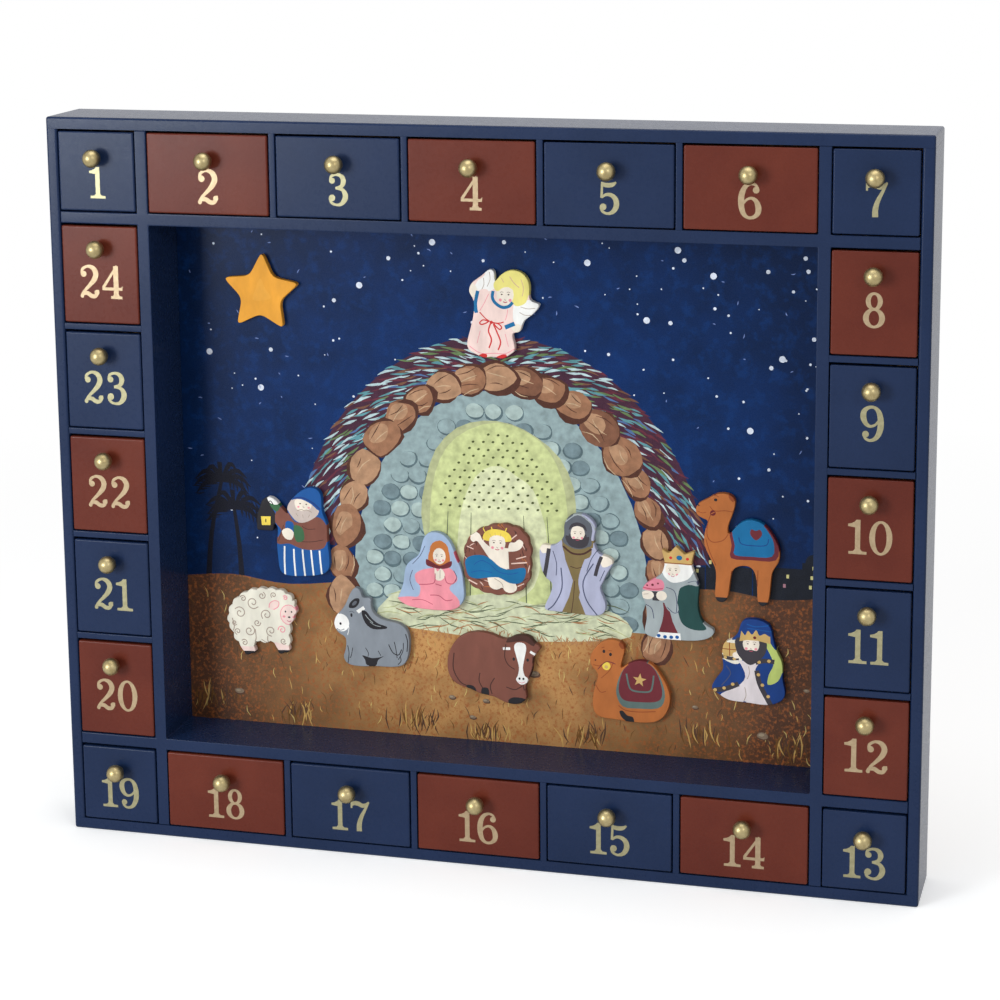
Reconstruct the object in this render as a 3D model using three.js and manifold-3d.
import * as THREE from 'three';
import { mergeVertices } from 'three/addons/utils/BufferGeometryUtils.js';
import Module from 'manifold-3d';

// Wooden advent calendar: a box frame that stands on its bottom board, with twenty-four drawers
// around a recessed scene and thirteen flat figures held by magnets on the picture board.
// Millimetres. X runs to the viewer's right, Z up, and the drawer fronts face -Y.
// The origin is under the middle of everything, on the floor.

const wasm = await Module();
wasm.setup();

// Box frame
const WIDTH = 400;
const HEIGHT = 340;
const DEPTH = 36;
const BOARD = 5.4; // outer boards, rails and scene walls
const DIVIDER = 3; // thin boards between two drawers
const CORNER_SLOT = 37.6; // width and height of the square slots in the four corners
const MIDDLE_SLOTS = 5; // slots along each side, between two corners
const BACK_THICK = 2.5;
const PICTURE_THICK = 0.5;
const GLUE_GAP = 0.05; // between glued boards

// Drawers
const FRONT_THICK = 4;
const FRONT_PROUD = 0.4; // how far a closed front stands out of the frame
const FRONT_SIDE_GAP = 0.5;
const FRONT_TOP_GAP = 1;
const FRONT_BOTTOM_GAP = 0.6;
const TRAY_WALL = 2;
const TRAY_FLOOR = 2;
const TRAY_DROP = 5; // from the front's top edge down to the tray's rim
const TRAY_END_GAP = 0.6; // from the tray's end to the back panel
const TRAY_ROOT = 2; // how deep the tray's boards are let into the front

// Knobs
const KNOB_RADIUS = 4.1;
const KNOB_NECK_RADIUS = 1.7;
const KNOB_NECK = 1.3; // from the front's face to the ball
const KNOB_ROOT = 1.5; // how deep the neck sits in the front
const KNOB_DOWN_TOP = 11.6; // from a front's top edge to the knob's centre, in the top row
const KNOB_DOWN_SIDE = 10; // the same in the two columns
const KNOB_DOWN_BOTTOM = 11; // the same in the bottom row
const KNOB_SIDES = 14;
const KNOB_RINGS = 7;

// Figures
const FIGURE_THICK = 3.2;
const FIGURE_GAP = 0.05; // from a figure's back to the picture board
const STAR_POINTS = 5;
const STAR_REACH = 19.6;
const STAR_WAIST = 9.7;
const STAR_TILT = -2.5; // degrees
const STAR_BEND = 3; // how far from each corner the straight edge starts to bend
const BEND_STEPS = 3; // straight pieces in each bend of an outline

// Derived sizes
const KNOB_DROP = Math.sqrt(KNOB_RADIUS ** 2 - KNOB_NECK_RADIUS ** 2);
const KNOB_REACH = FRONT_PROUD + KNOB_NECK + KNOB_DROP + KNOB_RADIUS;
const BACK_Y = (DEPTH + KNOB_REACH) / 2;
const FRAME_Y = BACK_Y - DEPTH;
const PANEL_Y = BACK_Y - BACK_THICK;
const PICTURE_Y = PANEL_Y - GLUE_GAP - PICTURE_THICK;
const FRONT_Y = FRAME_Y - FRONT_PROUD;
const TRAY_END_Y = PANEL_Y - TRAY_END_GAP;
const RING = 2 * BOARD + CORNER_SLOT; // from the outside of the box to the scene
const SCENE_X = WIDTH / 2 - RING;

const COLOURS = {
  navy: { color: 0x27365f, roughness: 0.45, metalness: 0 },
  russet: { color: 0x6b3027, roughness: 0.5, metalness: 0 },
  backing: { color: 0x8a6b4a, roughness: 0.8, metalness: 0 },
  sky: { color: 0x1c2c5e, roughness: 0.6, metalness: 0 },
  star: { color: 0xe39a35, roughness: 0.55, metalness: 0 },
  blush: { color: 0xf2d4cd, roughness: 0.55, metalness: 0 },
  blue: { color: 0x1f5aa0, roughness: 0.55, metalness: 0 },
  cream: { color: 0xe9e2d0, roughness: 0.55, metalness: 0 },
  grey: { color: 0x8b9199, roughness: 0.55, metalness: 0 },
  rose: { color: 0xe58f97, roughness: 0.55, metalness: 0 },
  straw: { color: 0x6d4034, roughness: 0.6, metalness: 0 },
  lavender: { color: 0xb3b4c8, roughness: 0.55, metalness: 0 },
  brown: { color: 0x7d4a3c, roughness: 0.55, metalness: 0 },
  silver: { color: 0xa9b0b1, roughness: 0.55, metalness: 0 },
  camel: { color: 0xb8662f, roughness: 0.55, metalness: 0 },
  royal: { color: 0x27498f, roughness: 0.55, metalness: 0 },
};

const calendar = new THREE.Group();
calendar.name = 'advent_calendar';

function addPiece(group, name, geometry, look) {
  const mesh = new THREE.Mesh(geometry, new THREE.MeshStandardMaterial(COLOURS[look]));
  mesh.name = name;
  group.add(mesh);
  return mesh;
}

function box(x0, x1, y0, y1, z0, z1) {
  const geometry = new THREE.BoxGeometry(x1 - x0, y1 - y0, z1 - z0);
  geometry.translate((x0 + x1) / 2, (y0 + y1) / 2, (z0 + z1) / 2);
  return geometry;
}

function toSolid(geometry) {
  geometry.deleteAttribute('normal');
  geometry.deleteAttribute('uv');
  const merged = mergeVertices(geometry, 0.0001);
  return new wasm.Manifold(new wasm.Mesh({
    numProp: 3,
    vertProperties: Float32Array.from(merged.attributes.position.array),
    triVerts: Uint32Array.from(merged.index.array),
  }));
}

function toGeometry(solid) {
  const mesh = solid.getMesh();
  const geometry = new THREE.BufferGeometry();
  geometry.setAttribute('position', new THREE.BufferAttribute(mesh.vertProperties, 3));
  geometry.setIndex(new THREE.BufferAttribute(mesh.triVerts, 1));
  geometry.computeVertexNormals();
  return geometry;
}

function join(geometries) {
  const solids = geometries.map(toSolid);
  return toGeometry(solids.reduce((sum, solid) => sum.add(solid)));
}

// The seven slot openings along one side of the box: corner, five equal ones, corner
function slotSpans(length) {
  const middle = length - 2 * RING;
  const slot = (middle - (MIDDLE_SLOTS - 1) * DIVIDER) / MIDDLE_SLOTS;
  const spans = [[BOARD, BOARD + CORNER_SLOT]];
  for (let i = 0; i < MIDDLE_SLOTS; i += 1) {
    const start = RING + i * (slot + DIVIDER);
    spans.push([start, start + slot]);
  }
  spans.push([length - BOARD - CORNER_SLOT, length - BOARD]);
  return spans;
}

const COLUMNS = slotSpans(WIDTH).map(([a, b]) => [a - WIDTH / 2, b - WIDTH / 2]);
const ROWS = slotSpans(HEIGHT).reverse(); // the top row comes first

// Outer box: the top and bottom boards lie over the ends of the side boards
function buildBox(group) {
  const x = WIDTH / 2;
  const inset = BOARD + GLUE_GAP;
  addPiece(group, 'top_board', box(-x, x, FRAME_Y, BACK_Y, HEIGHT - BOARD, HEIGHT), 'navy');
  addPiece(group, 'bottom_board', box(-x, x, FRAME_Y, BACK_Y, 0, BOARD), 'navy');
  const sides = { left_side_board: -x, right_side_board: x - BOARD };
  for (const [name, start] of Object.entries(sides)) {
    const side = box(start, start + BOARD, FRAME_Y, BACK_Y, inset, HEIGHT - inset);
    addPiece(group, name, side, 'navy');
  }
  const back = box(inset - x, x - inset, PANEL_Y, BACK_Y, inset, HEIGHT - inset);
  addPiece(group, 'back_panel', back, 'backing');
}

// Two rails and two scene walls that cross each other, glued into one grid
function buildInnerFrame(group) {
  const end = PANEL_Y - GLUE_GAP;
  const inset = BOARD + GLUE_GAP;
  const x = WIDTH / 2 - inset;
  const near = BOARD + CORNER_SLOT;
  const lowRail = box(-x, x, FRAME_Y, end, near, near + BOARD);
  const highRail = box(-x, x, FRAME_Y, end, HEIGHT - near - BOARD, HEIGHT - near);
  const leftWall = box(-SCENE_X - BOARD, -SCENE_X, FRAME_Y, end, inset, HEIGHT - inset);
  const rightWall = box(SCENE_X, SCENE_X + BOARD, FRAME_Y, end, inset, HEIGHT - inset);
  addPiece(group, 'inner_frame', join([lowRail, highRail, leftWall, rightWall]), 'navy');
}

function buildDividers(group) {
  const end = PANEL_Y - GLUE_GAP;
  for (let i = 1; i < MIDDLE_SLOTS; i += 1) {
    const x = COLUMNS[i][1];
    const z = ROWS[i + 1][1];
    for (const [name, row] of [['top', ROWS[0]], ['bottom', ROWS[MIDDLE_SLOTS + 1]]]) {
      const low = row[0] + GLUE_GAP;
      const high = row[1] - GLUE_GAP;
      addPiece(group, `${name}_divider_${i}`, box(x, x + DIVIDER, FRAME_Y, end, low, high), 'navy');
    }
    for (const [name, column] of [['left', COLUMNS[0]], ['right', COLUMNS[MIDDLE_SLOTS + 1]]]) {
      const low = column[0] + GLUE_GAP;
      const high = column[1] - GLUE_GAP;
      addPiece(group, `${name}_divider_${i}`, box(low, high, FRAME_Y, end, z, z + DIVIDER), 'navy');
    }
  }
}

function buildPictureBoard(group) {
  const x = SCENE_X - GLUE_GAP;
  const low = RING + GLUE_GAP;
  const board = box(-x, x, PICTURE_Y, PICTURE_Y + PICTURE_THICK, low, HEIGHT - low);
  addPiece(group, 'picture_board', board, 'sky');
}

// The slots in the order of the numbers, clockwise from the top left corner
function numberedSlots() {
  const last = MIDDLE_SLOTS + 1;
  const slots = [];
  for (let i = 0; i <= last; i += 1) slots.push([COLUMNS[i], ROWS[0]]);
  for (let i = 1; i < last; i += 1) slots.push([COLUMNS[last], ROWS[i]]);
  for (let i = last; i >= 0; i -= 1) slots.push([COLUMNS[i], ROWS[last]]);
  for (let i = last - 1; i > 0; i -= 1) slots.push([COLUMNS[0], ROWS[i]]);
  return slots;
}

// A ball on a short neck, its axis along -Y, its face at y = 0
function knobGeometry() {
  const centre = KNOB_NECK + KNOB_DROP;
  const start = Math.asin(KNOB_NECK_RADIUS / KNOB_RADIUS);
  const profile = [new THREE.Vector2(0, -KNOB_ROOT), new THREE.Vector2(KNOB_NECK_RADIUS, -KNOB_ROOT)];
  for (let i = 0; i < KNOB_RINGS; i += 1) {
    const angle = start + ((Math.PI - start) * i) / KNOB_RINGS;
    const radius = KNOB_RADIUS * Math.sin(angle);
    profile.push(new THREE.Vector2(radius, centre - KNOB_RADIUS * Math.cos(angle)));
  }
  profile.push(new THREE.Vector2(0, centre + KNOB_RADIUS));
  const knob = new THREE.LatheGeometry(profile, KNOB_SIDES);
  knob.rotateX(Math.PI);
  return knob;
}

function knobDown(row) {
  if (row === ROWS[0]) return KNOB_DOWN_TOP;
  return row === ROWS[MIDDLE_SLOTS + 1] ? KNOB_DOWN_BOTTOM : KNOB_DOWN_SIDE;
}

function drawerGeometry([x0, x1], row) {
  const [z0, z1] = row;
  const left = x0 + FRONT_SIDE_GAP;
  const right = x1 - FRONT_SIDE_GAP;
  const low = z0 + FRONT_BOTTOM_GAP;
  const high = z1 - FRONT_TOP_GAP;
  const rim = high - TRAY_DROP;
  const frontBack = FRONT_Y + FRONT_THICK;
  const front = toSolid(box(left, right, FRONT_Y, frontBack, low, high));
  const tray = toSolid(box(left, right, frontBack - TRAY_ROOT, TRAY_END_Y, low, rim));
  const inLeft = left + TRAY_WALL;
  const inRight = right - TRAY_WALL;
  const cavityEnd = TRAY_END_Y - TRAY_WALL;
  const cavity = toSolid(box(inLeft, inRight, frontBack, cavityEnd, low + TRAY_FLOOR, high));
  const knob = knobGeometry();
  knob.translate((x0 + x1) / 2, FRONT_Y, high - knobDown(row));
  return toGeometry(front.add(tray).subtract(cavity).add(toSolid(knob)));
}

function buildDrawers(group) {
  numberedSlots().forEach(([column, row], index) => {
    const number = index + 1;
    const name = `drawer_${String(number).padStart(2, '0')}`;
    addPiece(group, name, drawerGeometry(column, row), number % 2 ? 'navy' : 'russet');
  });
}

// A closed outline whose corners bend. A corner [x, z, reach] bends from `reach` before it to
// `reach` after it, and a corner [x, z] from the middle of one edge to the middle of the next
function roundedOutline(corners) {
  const shape = new THREE.Shape();
  const points = corners.map(([x, z]) => new THREE.Vector2(x, z));
  points.forEach((corner, i) => {
    const reach = corners[i][2] ?? Infinity;
    const from = bendPoint(corner, points[(i + points.length - 1) % points.length], reach);
    const to = bendPoint(corner, points[(i + 1) % points.length], reach);
    if (i === 0) shape.moveTo(from.x, from.y);
    else shape.lineTo(from.x, from.y);
    shape.quadraticCurveTo(corner.x, corner.y, to.x, to.y);
  });
  return shape;
}

function bendPoint(corner, towards, reach) {
  const share = Math.min(0.5, reach / corner.distanceTo(towards));
  return corner.clone().lerp(towards, share);
}

// A flat board cut to an outline that is stretched by [wide, high], standing upright, its back
// at y = 0
function plateGeometry(corners, [wide, high]) {
  const cut = corners.map(([x, z, reach]) => [x * wide, z * high, reach]);
  const plate = new THREE.ExtrudeGeometry(roundedOutline(cut), {
    depth: FIGURE_THICK, bevelEnabled: false, curveSegments: BEND_STEPS,
  });
  plate.rotateX(Math.PI / 2);
  return plate;
}

function starCorners() {
  const corners = [];
  for (let i = 0; i < 2 * STAR_POINTS; i += 1) {
    const angle = Math.PI * (0.5 + STAR_TILT / 180 + i / STAR_POINTS);
    const radius = i % 2 ? STAR_WAIST : STAR_REACH;
    corners.push([radius * Math.cos(angle), radius * Math.sin(angle), STAR_BEND]);
  }
  return corners;
}

// Outlines of the figures, from their own middle: x to the right, z up
const STAR = starCorners();
const ANGEL = [
  [-6.5, 21.5], [-10, 18], [-15.5, 14.5], [-16.8, 10], [-14, 7], [-14, 0], [-16, -8],
  [-18.5, -16.5], [-13, -19.5], [-9, -21], [-5, -19.8], [-0.5, -21.3], [3, -19], [6.5, -16.5],
  [3.5, -8], [8.5, -8.5], [9.5, -2.5], [14, 0], [19, 6], [12, 6.5], [13.5, 15], [9.5, 20.5],
  [3.5, 21.5], [-1.5, 18.5], [-4, 14.5], [-3.8, 20.5],
];
const SHEPHERD = [
  [-12, 17.8], [-16.3, 16], [-17.3, 11.5], [-19, 8.5], [-19, 0, 1], [-10.8, 0, 1],
  [-10.4, 4.5], [-8.2, 2], [-9.5, -6], [-8.8, -14], [-8, -23], [4, -22.6], [16.5, -20.5],
  [16.8, -12], [15.6, -3], [16, 6], [13, 11], [13.6, 21], [9, 24], [3.5, 22], [-1.5, 17],
  [-4.2, 12.5], [-3, 8.5], [-6.5, 12], [-8.8, 15.5],
];
const SHEEP = [
  [-11, 14], [-5, 17], [3, 18], [11, 17.5], [16.5, 14.5], [18.6, 9], [18.4, 4.5], [15.5, 0.5],
  [14.8, -5], [15, -15.8], [7.2, -16.4], [7, -10], [3, -11], [-3, -11], [-4, -9.5],
  [-3.4, -15], [-4.5, -17.8], [-10.5, -17.8], [-11, -14], [-15, -10], [-16.2, -5.5],
  [-18.6, -2], [-18.2, 4], [-16, 9.5],
];
const DONKEY = [
  [-18, 7], [-19.5, 2.5], [-17, -2.2], [-12.6, -3.5], [-13, -10], [-14.8, -14], [-12.5, -18],
  [-5, -18.6], [3, -17.6], [11, -17.8], [18.5, -16.3], [20.6, -8], [20.4, 1], [16, 5.4],
  [7, 6.2], [1.6, 9.2], [0.4, 14], [1, 17.6], [-4, 16.6], [-4.4, 20.4], [-7.6, 22.8],
  [-10.6, 18.6], [-12.5, 13.4], [-15.3, 9.6],
];
const MOTHER = [
  [-1, 20.5], [4.5, 20.5], [9, 16.5], [11.6, 9], [14.5, 2], [15.2, -6], [15.6, -12],
  [12, -17.5], [4, -18.6], [-5, -18.3], [-12, -17.6], [-18, -14], [-15.6, -10.5], [-13.8, -4],
  [-13.6, 1.5], [-11, 5.5], [-6.5, 8], [-5.4, 12.5], [-4, 18],
];
const INFANT_BED = [
  [0, 18], [8, 17.6], [13.5, 14.5], [16.4, 7], [15.8, 0], [16, -8], [12, -15], [4, -17.6],
  [-5, -17.2], [-12, -14], [-15.6, -8], [-15.4, 0], [-15, 8], [-9, 14.5],
];
const FATHER = [
  [1, 25.3], [6, 23.5], [9.3, 18.5], [7.2, 12.5], [9.5, 5.5], [13.5, 5.2], [17.3, 2.6],
  [13.5, -3.5], [11.6, -8.5], [10, -11], [13.8, -19], [11.6, -25], [0, -24.2], [-9, -23.6],
  [-15.8, -23.6], [-12, -16], [-10.4, -9.5], [-14.6, -7.5], [-16.8, 0], [-16.8, 9.5],
  [-11.5, 8.2], [-8.5, 9.5], [-5.2, 13.5], [-5.9, 18.5], [-4, 23.2],
];
const OX = [
  [-20.8, 0], [-19.5, 7], [-15.5, 14], [-8, 17.3], [0, 16.8], [7, 13.5], [11, 16.8],
  [18, 17.2], [20, 13.5], [24, 11.5], [19.5, 7.5], [19.4, 0], [16.8, -5.5], [15.6, -9.5],
  [17, -14], [13, -17.4], [7, -17.2], [1, -13.8], [-5, -13.6], [-9, -11.4], [-16, -9.8],
  [-19.6, -6],
];
const GIFT_KING = [
  [-9, 7.4], [-14.8, 3.6], [-15.8, -1.5], [-13.5, -6], [-13, -14], [-15, -21.5], [-8, -23],
  [0, -23.2], [10, -23], [16, -20.5], [17.3, -16.5], [12, -14.5], [9.5, -8], [9.5, -1],
  [10.2, 4], [8.6, 9], [6.2, 14.6], [8, 21.8, 0.9], [3.6, 19.6, 0.9], [-0.3, 23.7, 0.9],
  [-3.4, 19.8, 0.9], [-6.8, 22, 0.9], [-5.2, 15, 1.5], [-6.3, 9.6],
];
const STANDING_CAMEL = [
  [-19, 20.6], [-19.8, 15.8], [-16, 13.6], [-13.4, 13], [-15.4, 8], [-15.8, 1.5], [-12.6, -5],
  [-9.8, -10], [-10.2, -17], [-10.6, -25.2], [-4.6, -25.4], [-3.6, -15], [-2.6, -9], [2, -7],
  [7, -8], [8.8, -15], [8.6, -25.8], [13.8, -26], [14.8, -16], [15.2, -9], [18.6, -5],
  [19, 1.5], [15.5, 8], [11.5, 13], [5, 15], [-0.5, 12], [-4.4, 6], [-5.2, 10], [-2.6, 16.5],
  [-1, 23], [-4, 26], [-10, 26], [-14, 23],
];
const LYING_CAMEL = [
  [-18.6, 10], [-16, 15], [-11, 19.2], [-5, 19], [-1.6, 16.5], [-3.4, 10], [-4.4, 5.5],
  [-1, 8.5], [4, 10.6], [10, 9.8], [14, 5], [17.6, -1], [19, -7], [17, -13.5], [12.5, -18],
  [2, -18.6], [-8, -17.6], [-15.5, -17.4], [-17.4, -11], [-16, -3], [-13.8, 3], [-17.6, 6],
];
const TURBAN_KING = [
  [-3.5, 21], [3, 22], [9.5, 19.5], [10.6, 13], [12, 7], [15.4, 1], [14.8, -7], [17, -14.5],
  [14, -18.6], [8, -20.6], [0, -19.6], [-9, -19.4], [-13, -16.5], [-17.2, -14], [-14.4, -8.5],
  [-10.8, -4], [-12, 2], [-11.6, 9.5], [-7, 11], [-4.4, 15],
];

// Where the groups of figures have their middles, across the scene
const GROUPS = {
  left: -0.7 * SCENE_X,
  nearLeft: -0.39 * SCENE_X,
  middle: 0,
  right: 0.67 * SCENE_X,
};

// Each figure's outline, how wide and high it is cut, its group and its paint. `across` is measured
// from the group's middle, `up` from the lower edge of the scene and `down` from its upper edge,
// all to the outline's own middle
const FIGURES = [
  {
    name: 'star_figure', corners: STAR, cut: [1, 1], look: 'star',
    group: 'left', across: -3.6, down: 34.5,
  },
  {
    name: 'angel_figure', corners: ANGEL, cut: [0.965, 0.97], look: 'blush',
    group: 'middle', across: 5.7, down: 40,
  },
  {
    name: 'shepherd_figure', corners: SHEPHERD, cut: [1, 0.94], look: 'blue',
    group: 'left', across: 10.4, up: 95.8,
  },
  {
    name: 'sheep_figure', corners: SHEEP, cut: [0.95, 0.95], look: 'cream',
    group: 'left', across: -7.4, up: 51,
  },
  {
    name: 'donkey_figure', corners: DONKEY, cut: [0.93, 0.945], look: 'grey',
    group: 'nearLeft', across: -0.7, up: 50.1,
  },
  {
    name: 'mother_figure', corners: MOTHER, cut: [0.99, 0.96], look: 'rose',
    group: 'middle', across: -29.1, up: 80.4,
  },
  {
    name: 'infant_bed_figure', corners: INFANT_BED, cut: [1.03, 0.97], look: 'straw',
    group: 'middle', across: 1.7, up: 88.8,
  },
  {
    name: 'father_figure', corners: FATHER, cut: [1.04, 0.965], look: 'lavender',
    group: 'middle', across: 39.4, up: 89,
  },
  {
    name: 'ox_figure', corners: OX, cut: [1.03, 0.98], look: 'brown',
    group: 'middle', across: -1.4, up: 37,
  },
  {
    name: 'gift_king_figure', corners: GIFT_KING, cut: [1.035, 0.94], look: 'silver',
    group: 'right', across: -15.9, up: 78.3,
  },
  {
    name: 'standing_camel_figure', corners: STANDING_CAMEL, cut: [1, 0.985], look: 'camel',
    group: 'right', across: 12.1, up: 100.6,
  },
  {
    name: 'lying_camel_figure', corners: LYING_CAMEL, cut: [1.02, 1.03], look: 'camel',
    group: 'right', across: -37.5, up: 34.9,
  },
  {
    name: 'turban_king_figure', corners: TURBAN_KING, cut: [1.025, 0.955], look: 'royal',
    group: 'right', across: 17.3, up: 48.3,
  },
];

function buildFigures(group) {
  const back = PICTURE_Y - FIGURE_GAP;
  for (const figure of FIGURES) {
    const x = GROUPS[figure.group] + figure.across;
    const z = figure.up === undefined ? HEIGHT - RING - figure.down : RING + figure.up;
    const plate = plateGeometry(figure.corners, figure.cut);
    addPiece(group, figure.name, plate, figure.look).position.set(x, back, z);
  }
}

buildBox(calendar);
buildInnerFrame(calendar);
buildDividers(calendar);
buildPictureBoard(calendar);
buildDrawers(calendar);
buildFigures(calendar);

export default calendar;
